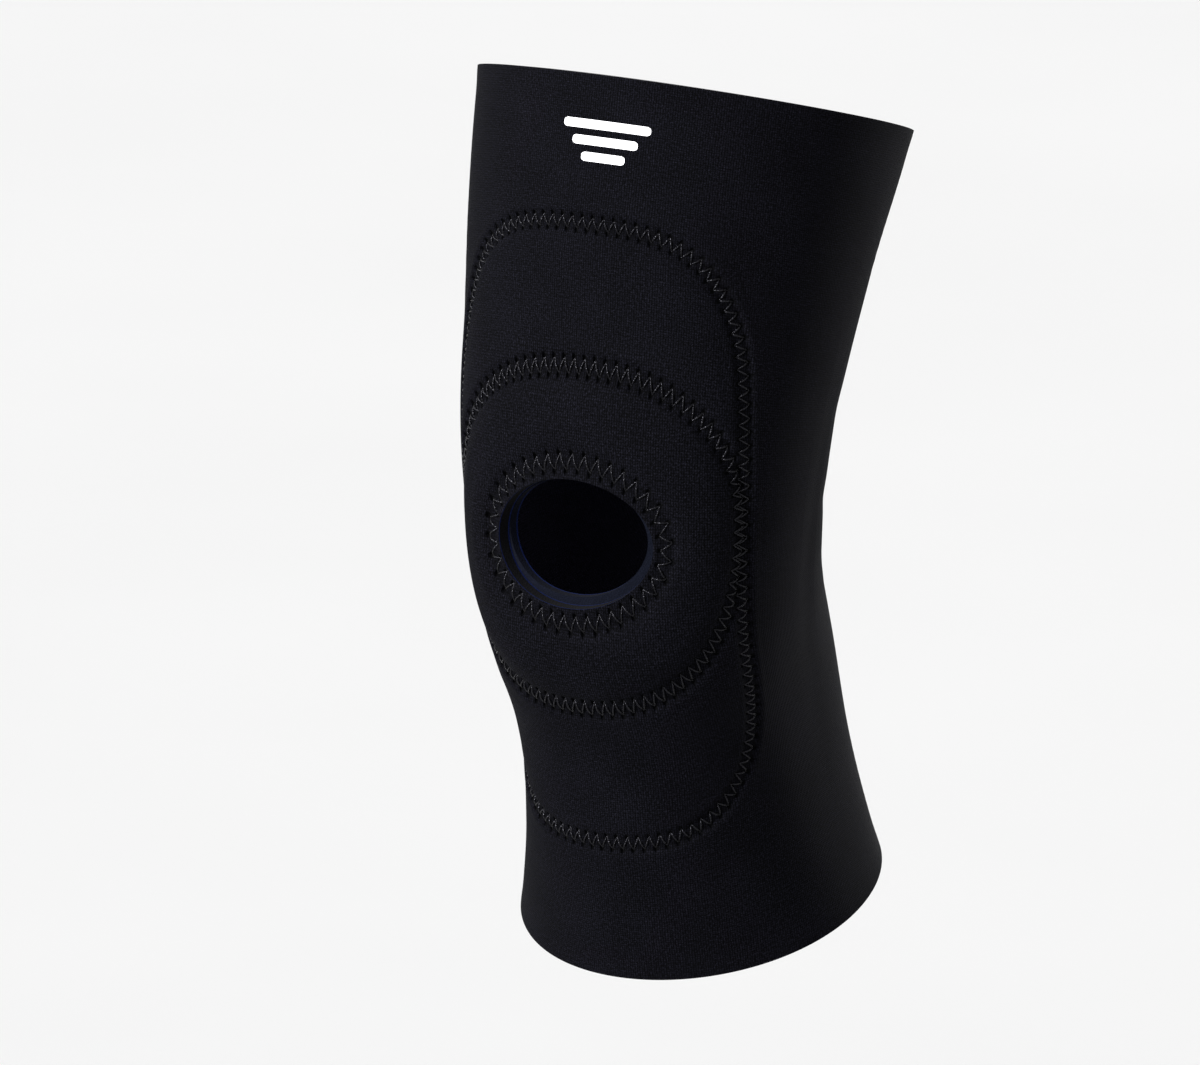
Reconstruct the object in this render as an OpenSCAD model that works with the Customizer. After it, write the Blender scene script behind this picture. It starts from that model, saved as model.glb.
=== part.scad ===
// Knee brace: a pull-on foam sleeve for one leg, open at the kneecap.
// It has a sewn-in front panel and a soft ring pad around the opening.
// Millimetres. The origin is the middle of the knee. +Z is up, the front faces -Y.
// The leg is slightly bent: the thigh and the shin both lean back (+Y) from the knee.

/* [Sleeve length and lean] */
// Length of the sleeve above the middle of the knee, along the leg
length_up = 138; // [120:150]
// Length of the sleeve below the middle of the knee, along the leg
length_down = 148; // [130:160]
// Backward lean of the thigh from upright
thigh_lean = 17; // [10:20]
// Backward lean of the shin from upright
shin_lean = 18; // [10:20]
// Length over which the leg turns from the knee into each lean
turn_length = 50; // [40:60]

/* [Sleeve shape: half width, front depth, back depth] */
// Section 150 below the knee
shape_below_150 = [63, 61, 62]; // [40:0.5:90]
// Section 110 below the knee
shape_below_110 = [53, 56, 69]; // [40:0.5:90]
// Section 70 below the knee
shape_below_70 = [50, 49, 72]; // [40:0.5:90]
// Section 30 below the knee
shape_below_30 = [56, 52, 60]; // [40:0.5:90]
// Section 10 above the knee
shape_above_10 = [62, 51, 51]; // [40:0.5:90]
// Section 50 above the knee
shape_above_50 = [66, 56, 50]; // [40:0.5:90]
// Section 90 above the knee
shape_above_90 = [70, 65, 58]; // [40:0.5:90]
// Section 130 above the knee
shape_above_130 = [74, 69, 72]; // [40:0.5:90]
// Section 170 above the knee, past the rim
shape_above_170 = [76, 72, 78]; // [40:0.5:90]
// How much squarer than an ellipse the section is at the knee
knee_squareness = 0.35; // [0:0.05:0.6]
// Distance along the leg over which the squareness fades
squareness_reach = 80; // [50:120]

/* [Layers of the wall] */
// Thickness of the outer knit
face_thickness = 0.5; // [0.4:0.1:1]
// Thickness of the foam core
core_thickness = 3.2; // [2.5:0.1:5]
// Thickness of the inner knit
lining_thickness = 0.5; // [0.4:0.1:1]
// Space left between one layer and the next
layer_gap = 0.45; // [0.3:0.05:0.6]
// Space left between the lining and the ring pad
pad_gap = 0.7; // [0.4:0.1:1]

/* [Kneecap opening] */
// Half width of the opening, around the leg
opening_half_width = 30.5; // [22:0.5:34]
// Half height of the opening, along the leg
opening_half_height = 17; // [15:0.5:28]
// Middle of the opening above the knee
opening_middle = -2.5; // [-5:0.5:5]
// Shift of the opening and the ring toward the outer side of the leg
ring_shift = 1.5; // [0:0.5:5]
// How much that shift grows per length up the leg
ring_lean = 0.08; // [0:0.01:0.2]

/* [Front panel and ring pad] */
// Half width of the panel seam, around the leg
panel_half_width = 63; // [50:0.5:75]
// Shift of the panel toward the outer side of the leg
panel_shift = 0.5; // [0:0.5:5]
// Top of the panel seam above the knee
panel_top = 88.5; // [80:0.5:110]
// Bottom of the panel seam below the knee
panel_bottom = 98.5; // [80:0.5:110]
// Thickness of the panel foam
panel_thickness = 2.6; // [2:0.1:4]
// Thickness of the knit on the panel
panel_knit_thickness = 0.6; // [0.4:0.1:1]
// Width of panel outside its seam
panel_margin = 5; // [3:8]
// Half width of the ring seam, around the leg
ring_half_width = 60.5; // [45:0.5:70]
// Half height of the ring seam, along the leg
ring_half_height = 46; // [35:0.5:60]
// Squareness of the panel seam: 2 is an ellipse
panel_squareness = 3.5; // [2:0.1:5]
// Squareness of the panel seam at its top corner on the inner side of the leg
panel_corner_squareness = 3; // [2:0.1:5]
// Squareness of the ring seam: 2 is an ellipse
ring_squareness = 2.4; // [2:0.1:5]
// Thickness of the ring pad
pad_thickness = 5; // [3:0.5:8]
// Space between the ring pad and the seams beside it
pad_inset = 4; // [3:0.5:6]
// Space left between the ring pad and the panel over it
panel_gap = 0.5; // [0.3:0.1:1]

/* [Stitching] */
// Width of each zigzag seam
seam_width = 5; // [3:0.5:7]
// Distance along a seam from one needle hole to the next
stitch_step = 5; // [3:0.5:7]
// Width of a thread
thread_width = 1; // [0.6:0.1:1.4]
// Thickness of a thread
thread_thickness = 0.5; // [0.3:0.1:0.8]
// Distance from the opening edge to the middle of its seam
opening_seam_inset = 4.5; // [4:0.5:8]
// Space left between the outer knit and the threads on it
thread_lift = 0.4; // [0.3:0.1:0.6]
// Space left between two threads where seams cross
crossing_gap = 0.3; // [0.3:0.1:0.6]
// Space left between the inner knit and the bobbin threads
bobbin_gap = 0.8; // [0.6:0.1:1.2]
// Distance from the rims to the ends of the rear seam threads
rear_thread_inset = 4; // [2:8]

/* [Rear seam tape, label and mark] */
// Width of the tape over the rear seam
tape_width = 18; // [12:25]
// Thickness of the tape
tape_thickness = 0.6; // [0.4:0.1:1]
// Space left between the lining and the tape or the label
tape_gap = 0.5; // [0.3:0.1:1]
// Distance from the rims to the ends of the tape
tape_inset = 2; // [0:5]
// Width of the care label
label_width = 24; // [15:35]
// Length of the care label, down from its seam
label_length = 34; // [20:50]
// Thickness of the care label
label_thickness = 0.5; // [0.4:0.1:1]
// Angle of the middle of the label from the front
label_angle = 140; // [120:160]
// Distance from the top rim to the top of the label
label_inset = 4; // [3:10]
// Distance from the top of the label to the middle of its thread
label_seam_drop = 3; // [2:0.5:5]
// Distance from the top rim to the middle of the printed mark
mark_drop = 22; // [15:30]
// Length of the longest bar of the mark
mark_length = 32; // [20:40]
// Height of each bar of the mark
mark_bar = 3; // [2:0.5:5]
// Distance from one bar of the mark to the next
mark_pitch = 5.4; // [4:0.1:9]
// How much shorter each bar of the mark is than the one above it
mark_taper = 8; // [0:12]
// Angle of the middle of the mark from the front
mark_angle = 6; // [0:20]
// Thickness of the mark
mark_thickness = 0.3; // [0.1:0.1:0.5]

/* [Knee motion] */
// Bend that the wall leaves room for at the back of each hinge
bend_room = 42; // [30:45]
// Straightening that the wall leaves room for at the front of each hinge
straighten_room = 19; // [10:20]
// Distance of each hinge from the middle of the knee, along the leg
hinge_distance = 48; // [40:60]
// Half of the bending zone's height beside a hinge, half way round the leg
hinge_gap = 1.5; // [1:0.5:4]
// Distance from the hinges to the front of the foam
front_depth = 55; // [45:65]
// Distance from the upper hinge to the back of the foam
thigh_back_depth = 58; // [45:80]
// Distance from the lower hinge to the back of the foam
shin_back_depth = 74; // [45:80]
// How many times more room the knee's side of a bending zone has at the back
knee_side_share = 1.4; // [1:0.1:2]
// Space left between two zones of the foam
zone_gap = 0.3; // [0.3:0.1:0.6]

/* [Hidden] */

sections = [shape_below_150, shape_below_110, shape_below_70, shape_below_30, shape_above_10,
            shape_above_50, shape_above_90, shape_above_130, shape_above_170];
section_start = -150;
section_pitch = 40;
columns = 40;
skin_rows = 20;
patch_points = 48;
patch_spread = 1.4;

face_inner = -face_thickness;
core_outer = face_inner - layer_gap;
core_inner = core_outer - core_thickness;
lining_outer = core_inner - layer_gap;
lining_inner = lining_outer - lining_thickness;
pad_outer = lining_inner - pad_gap;
pad_inner = pad_outer - pad_thickness;
knit_outer = pad_outer - panel_thickness - layer_gap;
bobbin_outer = knit_outer - panel_knit_thickness - bobbin_gap;
tape_outer = lining_inner - tape_gap;
tape_inner = tape_outer - tape_thickness;
rear_bobbin_outer = tape_inner - bobbin_gap;
ring_lift = thread_lift + thread_thickness + crossing_gap;

fabric_black = [0.05, 0.05, 0.06];
foam_blue = [0.12, 0.16, 0.42];
lining_violet = [0.16, 0.14, 0.28];
thread_black = [0.09, 0.09, 0.1];
pad_grey = [0.3, 0.3, 0.33];
mark_white = [0.92, 0.92, 0.93];

// ---- Leg surface ----

// Cubic through b and c, with a and d as their neighbours.
function curve4(a, b, c, d, t) =
    b + 0.5 * t * (c - a + t * (2 * a - 5 * b + 4 * c - d + t * (3 * (b - c) + d - a)));

function section_at(i) =
    i < 0 ? 2 * sections[0] - sections[1] :
    i > len(sections) - 1 ? sections[len(sections) - 1] : sections[i];

// Half width, front depth and back depth at distance s along the leg.
function shape_at(s) =
    let (q = (s - section_start) / section_pitch, i = floor(q))
    curve4(section_at(i - 1), section_at(i), section_at(i + 1), section_at(i + 2), q - i);

// Lean of the leg at s: positive leans back going up.
function lean_at(s) =
    s > 0 ? thigh_lean * min(s / turn_length, 1) : -shin_lean * min(-s / turn_length, 1);

// Middle of the leg at distance u from the knee on one side, as [back, along].
function side_axis(u, lean) =
    let (r = turn_length / (lean * PI / 180), v = min(u, turn_length), rest = u - v,
         a = lean * v / turn_length)
    [r * (1 - cos(a)) + rest * sin(a), r * sin(a) + rest * cos(a)];

function axis_at(s) =
    let (p = s > 0 ? side_axis(s, thigh_lean) : side_axis(-s, shin_lean))
    [0, p[0], s > 0 ? p[1] : -p[1]];

function power_at(s) = 2 / (2 + knee_squareness * exp(-pow(s / squareness_reach, 2)));

function signed_pow(v, e) = sign(v) * pow(abs(v), e);

// Point of the section at s and angle a from the front, d outside the outer knit: [x, back].
function section_point(s, a, d) =
    let (m = shape_at(s), e = power_at(s), c = signed_pow(cos(a), e))
    [(m[0] + d) * signed_pow(sin(a), e), c > 0 ? -(m[1] + d) * c : -(m[2] + d) * c];

// Point in space on the leg surface.
function skin(s, a, d) =
    let (p = section_point(s, a, d), t = lean_at(s))
    axis_at(s) + [p[0], p[1] * cos(t), -p[1] * sin(t)];

// Angle reached after walking a length around the outer knit from the front.
function walk(s, length, a = 0, done = 0, step = 3) =
    let (gap = norm(section_point(s, a + step, 0) - section_point(s, a, 0)))
    done + gap >= length || a > 120 ? a + step * (length - done) / gap :
    walk(s, length, a + step, done + gap, step);

// Point d outside the outer knit, at p = [length around the leg from the front, s].
function front_skin(p, d) = skin(p[1], sign(p[0]) * walk(p[1], abs(p[0])), d);

// ---- Sleeve walls ----

// A row is [s, extra s at the front, extra s at the back].
function row_s(row, a) = row[0] + (cos(a) > 0 ? row[1] * cos(a) : -row[2] * cos(a));

function rows_between(low, high, count) = [for (i = [0 : count]) low + (high - low) * i / count];

function wall_points(rows, d) =
    [for (row = rows) for (j = [0 : columns - 1])
        let (a = j * 360 / columns) skin(row_s(row, a), a, d)];

function quad(a, b, c, d) = [[a, b, c], [a, c, d]];

function grid_index(i, j) = i * columns + (j + columns) % columns;

// Ring of wall around the leg between two depths, with plain edges.
module wall(rows, outer, inner) {
    last = len(rows) - 1;
    n = len(rows) * columns;
    sides = [for (i = [0 : last - 1]) for (j = [0 : columns - 1])
        let (a = grid_index(i, j), b = grid_index(i, j + 1),
             c = grid_index(i + 1, j + 1), d = grid_index(i + 1, j))
        for (f = concat(quad(a, d, c, b), quad(n + a, n + b, n + c, n + d))) f];
    rims = [for (j = [0 : columns - 1])
        let (a = grid_index(0, j), b = grid_index(0, j + 1),
             c = grid_index(last, j), d = grid_index(last, j + 1))
        for (f = concat(quad(a, b, n + b, n + a), quad(c, n + c, n + d, d))) f];
    polyhedron(concat(wall_points(rows, outer), wall_points(rows, inner)), concat(sides, rims));
}

// Columns on each side of the front, and rows from and to, that the opening patch takes.
patch_columns = 5;
patch_levels = 4;

function patch_rim(low, high) = concat(
    [for (i = [low : high - 1]) [i, patch_columns]],
    [for (j = [patch_columns : -1 : 1 - patch_columns]) [high, j]],
    [for (i = [high : -1 : low + 1]) [i, -patch_columns]],
    [for (j = [-patch_columns : patch_columns - 1]) [low, j]]);

// Ring of wall with the kneecap opening in its front.
module open_wall(rows, low, high, outer, inner) {
    last = len(rows) - 1;
    rim = patch_rim(low, high);
    m = len(rim);
    n = len(rows) * columns + patch_levels * m;
    base = len(rows) * columns;
    rim_at = [for (q = rim)
        let (a = q[1] * 360 / columns, s = row_s(rows[q[0]], a), p = section_point(s, a, 0))
        [p[0], s]];
    edge = [for (p = rim_at)
        line_point(opening_line, atan2((p[1] - opening_middle) / opening_half_height,
                                       (p[0] - ring_shift) / opening_half_width))];
    function layer(d) =
        concat(wall_points(rows, d), [for (v = [0 : patch_levels - 1]) for (k = [0 : m - 1])
            let (a = rim[k][1] * 360 / columns, s = row_s(rows[rim[k][0]], a), h = edge[k],
                 b = sign(h[0]) * walk(h[1], abs(h[0])), t = v / patch_levels)
            skin(h[1] + (s - h[1]) * t, b + (a - b) * t, d)]);
    inside = function (i, j)
        i >= low && i < high && (j < patch_columns || j >= columns - patch_columns);
    sides = [for (i = [0 : last - 1]) for (j = [0 : columns - 1]) if (!inside(i, j))
        let (a = grid_index(i, j), b = grid_index(i, j + 1),
             c = grid_index(i + 1, j + 1), d = grid_index(i + 1, j))
        for (f = concat(quad(a, d, c, b), quad(n + a, n + b, n + c, n + d))) f];
    rims = [for (j = [0 : columns - 1])
        let (a = grid_index(0, j), b = grid_index(0, j + 1),
             c = grid_index(last, j), d = grid_index(last, j + 1))
        for (f = concat(quad(a, b, n + b, n + a), quad(c, n + c, n + d, d))) f];
    function at(v, k) =
        v == patch_levels ? grid_index(rim[k % m][0], rim[k % m][1]) : base + v * m + k % m;
    patch = [for (v = [0 : patch_levels - 1]) for (k = [0 : m - 1])
        let (a = at(v, k), b = at(v, k + 1), c = at(v + 1, k + 1), d = at(v + 1, k))
        for (f = concat(quad(d, a, b, c), quad(n + d, n + c, n + b, n + a))) f];
    edges = [for (k = [0 : m - 1])
        for (f = quad(base + k, n + base + k, n + base + (k + 1) % m, base + (k + 1) % m)) f];
    polyhedron(concat(layer(outer), layer(inner)), concat(sides, rims, patch, edges));
}

// ---- Seam lines around the opening ----

// A line is [half width, half height, middle s, squareness, shift, lean, corner squareness].
opening_line = [opening_half_width, opening_half_height, opening_middle, 2,
                ring_shift, ring_lean, 2];
opening_seam = wider(opening_line, opening_seam_inset);
ring_seam = [ring_half_width, ring_half_height, opening_middle, ring_squareness,
             ring_shift, ring_lean, ring_squareness];
panel_seam = [panel_half_width, (panel_top + panel_bottom) / 2, (panel_top - panel_bottom) / 2,
              panel_squareness, panel_shift, 0, panel_corner_squareness];

function wider(line, by) =
    [line[0] + by, line[1] + by, line[2], line[3], line[4], line[5], line[6]];

// The corner squareness holds in the top corner on the inner side of the leg.
function line_power(line, a) = 2 / (cos(a) < 0 && sin(a) > 0 ? line[6] : line[3]);

function line_point(line, a) =
    let (power = line_power(line, a), rise = line[1] * signed_pow(sin(a), power))
    [line[4] + line[0] * signed_pow(cos(a), power) + line[5] * rise, line[2] + rise];

function between_lines(from, to, t, a) =
    line_point(from, a) * (1 - t) + line_point(to, a) * t;

// ---- Patches lying under the front of the sleeve ----

// Angle of a point of a patch: closer together where the lines cross the leg's middle.
function patch_angle(i) =
    let (q = 4 * i / patch_points, x = q - floor(q), a = pow(x, patch_spread))
    90 * (floor(q) + a / (a + pow(1 - x, patch_spread)));

// Each level is [line, line, share from the first to the second, outer depth, inner depth].
module patch(levels) {
    last = len(levels) - 1;
    n = len(levels) * patch_points;
    function side(k) = [for (v = levels) for (i = [0 : patch_points - 1])
        front_skin(between_lines(v[0], v[1], v[2], patch_angle(i)), v[k])];
    function at(v, i) = v * patch_points + i % patch_points;
    flats = [for (v = [0 : last - 1]) for (i = [0 : patch_points - 1])
        let (a = at(v, i), b = at(v, i + 1), c = at(v + 1, i + 1), d = at(v + 1, i))
        for (f = concat(quad(a, b, c, d), quad(n + a, n + d, n + c, n + b))) f];
    edges = [for (i = [0 : patch_points - 1])
        let (a = at(0, i), b = at(0, i + 1), c = at(last, i), d = at(last, i + 1))
        for (f = concat(quad(a, n + a, n + b, b), quad(c, d, n + d, n + c))) f];
    polyhedron(concat(side(3), side(4)), concat(flats, edges));
}

panel_edge = wider(panel_seam, panel_margin);
pad_low = wider(opening_seam, pad_inset);
pad_high = wider(ring_seam, -pad_inset);
seam_low = wider(opening_seam, seam_width / 2);
seam_high = wider(ring_seam, -seam_width / 2);

// Levels of a panel layer whose outer face is at depth d beside the lining.
function panel_levels(d, thickness) =
    let (over = d - pad_thickness - panel_gap)
    [[opening_line, opening_line, 0, d, d - thickness],
     [opening_seam, opening_seam, 0, d, d - thickness],
     [seam_low, seam_low, 0, d, d - thickness],
     [pad_low, pad_high, 0, over, over - thickness],
     [pad_low, pad_high, 0.5, over, over - thickness],
     [pad_low, pad_high, 1, over, over - thickness],
     [seam_high, seam_high, 0, d, d - thickness],
     [ring_seam, ring_seam, 0, d, d - thickness],
     [ring_seam, panel_edge, 0.33, d, d - thickness],
     [ring_seam, panel_edge, 0.67, d, d - thickness],
     [panel_edge, panel_edge, 0, d, d - thickness]];

// ---- Zigzag threads ----

// Points of a line at even distances, with the sideways direction: [point, sideways].
function even_points(line, count) =
    let (fine = 180,
         raw = [for (i = [0 : fine]) line_point(line, i * 360 / fine)],
         far = [for (i = 0, w = 0; i <= fine; w = w + (i < fine ? norm(raw[i + 1] - raw[i]) : 0),
                     i = i + 1) [w, i * 360 / fine]])
    [for (k = [0 : count - 1])
        let (a = lookup(far[fine][0] * k / count, far),
             p = line_point(line, a),
             along = line_point(line, a + 1) - line_point(line, a - 1))
        [p, [along[1], -along[0]] / norm(along)]];

function even_count(length) = 2 * round(length / stitch_step / 2);

function line_length(line) =
    let (gaps = [for (a = [0 : 4 : 356]) norm(line_point(line, a + 4) - line_point(line, a))])
    gaps * [for (g = gaps) 1];

// Closed zigzag thread along a line, its outer face at a depth.
module zigzag(line, high) {
    low = high - thread_thickness;
    count = even_count(line_length(line));
    stops = even_points(line, count);
    rings = [for (k = [0 : count - 1])
        let (q = stops[k], side = (k % 2 == 0 ? 0.5 : -0.5) * (seam_width - thread_width),
             p = q[0] + q[1] * side, half = q[1] * thread_width / 2)
        [front_skin(p - half, low), front_skin(p + half, low),
         front_skin(p + half, high), front_skin(p - half, high)]];
    function at(k, i) = 4 * (k % count) + i % 4;
    polyhedron([for (r = rings) for (p = r) p],
               [for (k = [0 : count - 1]) for (i = [0 : 3])
                   for (f = quad(at(k, i), at(k, i + 1), at(k + 1, i + 1), at(k + 1, i))) f]);
}

// Zigzag thread down the back of the sleeve, its outer face at a depth.
module rear_zigzag(high) {
    low = high - thread_thickness;
    start = rear_thread_inset - length_down;
    length = length_up + length_down - 2 * rear_thread_inset;
    count = even_count(length);
    rings = [for (k = [0 : count])
        let (s = start + length * k / count,
             middle = 180 + degrees_for((k % 2 == 0 ? 0.5 : -0.5) * (seam_width - thread_width), s),
             half = degrees_for(thread_width / 2, s))
        [skin(s, middle - half, low), skin(s, middle + half, low),
         skin(s, middle + half, high), skin(s, middle - half, high)]];
    polyhedron([for (r = rings) for (p = r) p],
               concat([for (k = [0 : count - 1]) for (i = [0 : 3])
                          for (f = quad(4 * k + i, 4 * k + (i + 1) % 4,
                                        4 * k + 4 + (i + 1) % 4, 4 * k + 4 + i)) f],
                      quad(3, 2, 1, 0),
                      quad(4 * count, 4 * count + 1, 4 * count + 2, 4 * count + 3)));
}

// ---- Small pieces ----

// Closed strip over a grid of positions [s, angle], between two depths.
module strip(grid, low, high) {
    rows = len(grid);
    cols = len(grid[0]);
    n = rows * cols;
    points = concat([for (r = grid) for (p = r) skin(p[0], p[1], low)],
                    [for (r = grid) for (p = r) skin(p[0], p[1], high)]);
    flats = [for (i = [0 : rows - 2]) for (j = [0 : cols - 2])
        let (a = i * cols + j, b = a + 1, c = b + cols, d = a + cols)
        for (f = concat(quad(a, b, c, d), quad(n + a, n + d, n + c, n + b))) f];
    ends = [for (j = [0 : cols - 2])
        let (a = j, b = (rows - 1) * cols + j)
        for (f = concat(quad(a, n + a, n + a + 1, a + 1), quad(b, b + 1, n + b + 1, n + b))) f];
    sides = [for (i = [0 : rows - 2])
        let (a = i * cols, b = a + cols - 1)
        for (f = concat(quad(a, a + cols, n + a + cols, n + a),
                        quad(b, n + b, n + b + cols, b + cols))) f];
    polyhedron(points, concat(flats, ends, sides));
}

function degrees_for(length, s) = length / shape_at(s)[0] * 180 / PI;

// Even grid of positions around one angle.
function strip_grid(s_low, s_high, rows, middle, width, cols) =
    [for (i = [0 : rows]) let (s = s_low + (s_high - s_low) * i / rows)
        [for (j = [0 : cols]) [s, middle + degrees_for(width, s) * (j / cols - 0.5)]]];

// ---- Subcomponents ----

bottom_row = [-length_down, 0, 0];
top_row = [length_up, 0, 0];
front_room = front_depth * tan(straighten_room / 2);
thigh_back_room = thigh_back_depth * tan(bend_room / 2);
shin_back_room = shin_back_depth * tan(bend_room / 2);
knee_back_room = thigh_back_room * knee_side_share;
knee_top_row = [hinge_distance - hinge_gap, -front_room, -knee_back_room];
thigh_low_row = [hinge_distance + hinge_gap, front_room, thigh_back_room];
knee_low_row = [hinge_gap - hinge_distance, front_room, knee_back_room];
shin_top_row = [-hinge_distance - hinge_gap, -front_room, -shin_back_room];
zone_step = [zone_gap, 0, 0];

module face_fabric() {
    color(fabric_black)
    open_wall(rows_between(bottom_row, top_row, skin_rows), 8, 13, 0, face_inner);
}

module lining_fabric() {
    color(lining_violet)
    open_wall(rows_between(bottom_row, top_row, skin_rows), 8, 13, lining_outer, lining_inner);
}

module thigh_core() {
    color(foam_blue)
    wall(rows_between(thigh_low_row, top_row, 5), core_outer, core_inner);
}

module upper_bend_core() {
    color(foam_blue)
    wall(rows_between(knee_top_row + zone_step, thigh_low_row - zone_step, 5), core_outer, core_inner);
}

module knee_core() {
    color(foam_blue)
    open_wall(rows_between(knee_low_row, knee_top_row, 6), 1, 5, core_outer, core_inner);
}

module lower_bend_core() {
    color(foam_blue)
    wall(rows_between(shin_top_row + zone_step, knee_low_row - zone_step, 5), core_outer, core_inner);
}

module shin_core() {
    color(foam_blue)
    wall(rows_between(bottom_row, shin_top_row, 6), core_outer, core_inner);
}

module support_panel() {
    color(foam_blue)
    patch(panel_levels(pad_outer, panel_thickness));
}

module panel_knit() {
    color(lining_violet)
    patch(panel_levels(knit_outer, panel_knit_thickness));
}

module ring_buttress() {
    color(pad_grey)
    patch([for (t = [0 : 3]) [pad_low, pad_high, t / 3, pad_outer, pad_inner]]);
}

module panel_stitch() {
    color(thread_black)
    zigzag(panel_seam, thread_lift + thread_thickness);
}

module ring_stitch() {
    color(thread_black)
    zigzag(ring_seam, ring_lift + thread_thickness);
}

module opening_stitch() {
    color(thread_black)
    zigzag(opening_seam, thread_lift + thread_thickness);
}

module panel_bobbin_thread() {
    color(thread_black)
    zigzag(panel_seam, bobbin_outer);
}

module ring_bobbin_thread() {
    color(thread_black)
    zigzag(ring_seam, bobbin_outer - ring_lift);
}

module opening_bobbin_thread() {
    color(thread_black)
    zigzag(opening_seam, bobbin_outer);
}

module rear_seam_stitch() {
    color(thread_black)
    rear_zigzag(thread_lift + thread_thickness);
}

module rear_seam_tape() {
    color(lining_violet)
    strip(strip_grid(tape_inset - length_down, length_up - tape_inset, 28, 180, tape_width, 2),
          tape_inner, tape_outer);
}

module rear_seam_bobbin_thread() {
    color(thread_black)
    rear_zigzag(rear_bobbin_outer);
}

label_top = length_up - label_inset;
label_inner = tape_outer - label_thickness;
label_seam = label_top - label_seam_drop;
label_thread_outer = label_inner - layer_gap;

module care_label() {
    color(mark_white)
    strip(strip_grid(label_top - label_length, label_top, 2, label_angle, label_width, 3),
          label_inner, tape_outer);
}

module label_stitch() {
    color(thread_black)
    strip(strip_grid(label_seam - thread_width / 2, label_seam + thread_width / 2, 1,
                     label_angle, label_width - 4, 3),
          label_thread_outer - thread_thickness, label_thread_outer);
}

module printed_mark() {
    color(mark_white)
    for (i = [0 : 2]) {
        middle = length_up - mark_drop + (1 - i) * mark_pitch;
        strip(strip_grid(middle - mark_bar / 2, middle + mark_bar / 2, 1, mark_angle,
                         mark_length - mark_taper * i, 4),
              thread_lift, thread_lift + mark_thickness);
    }
}

face_fabric();
thigh_core();
upper_bend_core();
knee_core();
lower_bend_core();
shin_core();
lining_fabric();
support_panel();
panel_knit();
ring_buttress();
panel_stitch();
ring_stitch();
opening_stitch();
panel_bobbin_thread();
ring_bobbin_thread();
opening_bobbin_thread();
rear_seam_stitch();
rear_seam_bobbin_thread();
rear_seam_tape();
care_label();
label_stitch();
printed_mark();
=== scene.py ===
import math

import bpy
import numpy as np
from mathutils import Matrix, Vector


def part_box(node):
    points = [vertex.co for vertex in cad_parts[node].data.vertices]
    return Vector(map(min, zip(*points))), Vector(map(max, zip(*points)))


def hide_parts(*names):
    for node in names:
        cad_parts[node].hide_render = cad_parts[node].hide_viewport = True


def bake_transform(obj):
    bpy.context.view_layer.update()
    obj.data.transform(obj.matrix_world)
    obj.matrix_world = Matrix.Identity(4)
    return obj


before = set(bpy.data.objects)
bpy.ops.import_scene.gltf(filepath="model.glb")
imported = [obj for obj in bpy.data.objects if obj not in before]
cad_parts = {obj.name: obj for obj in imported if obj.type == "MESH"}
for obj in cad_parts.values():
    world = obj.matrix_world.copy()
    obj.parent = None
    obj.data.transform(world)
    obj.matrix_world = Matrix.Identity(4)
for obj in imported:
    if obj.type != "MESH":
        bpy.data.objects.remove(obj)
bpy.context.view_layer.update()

MM = 0.001

# ---- Leg surface: the CAD design values, in millimetres ----

LENGTH_UP = 138.0
LENGTH_DOWN = 148.0
THIGH_LEAN = 17.0
SHIN_LEAN = 18.0
TURN_LENGTH = 50.0
SQUARENESS = 0.35
SQUARENESS_REACH = 80.0
# Half width, front depth and back depth every 40 mm, from 150 mm below the knee
SECTIONS = np.array([
    (63, 61, 62), (53, 56, 69), (50, 49, 72), (56, 52, 60), (62, 51, 51),
    (66, 56, 50), (70, 65, 58), (74, 69, 72), (76, 72, 78)], float)
SECTION_START = -150.0
SECTION_PITCH = 40.0
WALL = 5.0

# Seam lines: half width round the leg, half height along it, middle, squareness, shift to the
# outer side, how much that shift grows with height, and the inner top corner's own squareness
OPENING = (30.5, 17.0, -2.5, 2.0, 1.5, 0.08, 2.0)
OPENING_SEAM = (35.0, 21.5, -2.5, 2.0, 1.5, 0.08, 2.0)
RING_SEAM = (60.5, 46.0, -2.5, 2.4, 1.5, 0.08, 2.4)
PANEL_SEAM = (63.0, 93.5, -5.0, 3.5, 0.5, 0.0, 3.0)
PANEL_HOLE = (28.8, 15.6, -1.8, 2.0, 0.4, 0.08, 2.0)
# Length along a seam from one V of thread to the next, and half the width of the V
PITCHES = {"opening": 4.8, "ring": 3.9, "panel": 3.9}
REAR_PITCH = 3.4
HALF_ZIG = 2.2
# Every layer and every long seam is two pieces that meet at the knee: the side of each, and its name
HALVES = {1: "upper", -1: "lower"}


def curve4(a, b, c, d, t):
    """Smooth curve from b to c, steered by a before them and d after them."""
    return b + 0.5 * t * (c - a + t * (2 * a - 5 * b + 4 * c - d + t * (3 * (b - c) + d - a)))


def shape_at(s):
    """Half width, front depth and back depth of the leg at length s."""
    q = (np.asarray(s, float) - SECTION_START) / SECTION_PITCH
    i = np.floor(q).astype(int)
    t = (q - i)[..., None]
    padded = np.vstack([2 * SECTIONS[0] - SECTIONS[1], SECTIONS, SECTIONS[-1], SECTIONS[-1]])

    def row(k):
        return padded[np.clip(k + 1, 0, len(padded) - 1)]

    return curve4(row(i - 1), row(i), row(i + 1), row(i + 2), t)


def lean_at(s):
    """Lean of the leg at length s, in radians."""
    s = np.asarray(s, float)
    up = THIGH_LEAN * np.clip(s / TURN_LENGTH, 0, 1)
    down = SHIN_LEAN * np.clip(-s / TURN_LENGTH, 0, 1)
    return np.radians(up - down)


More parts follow.
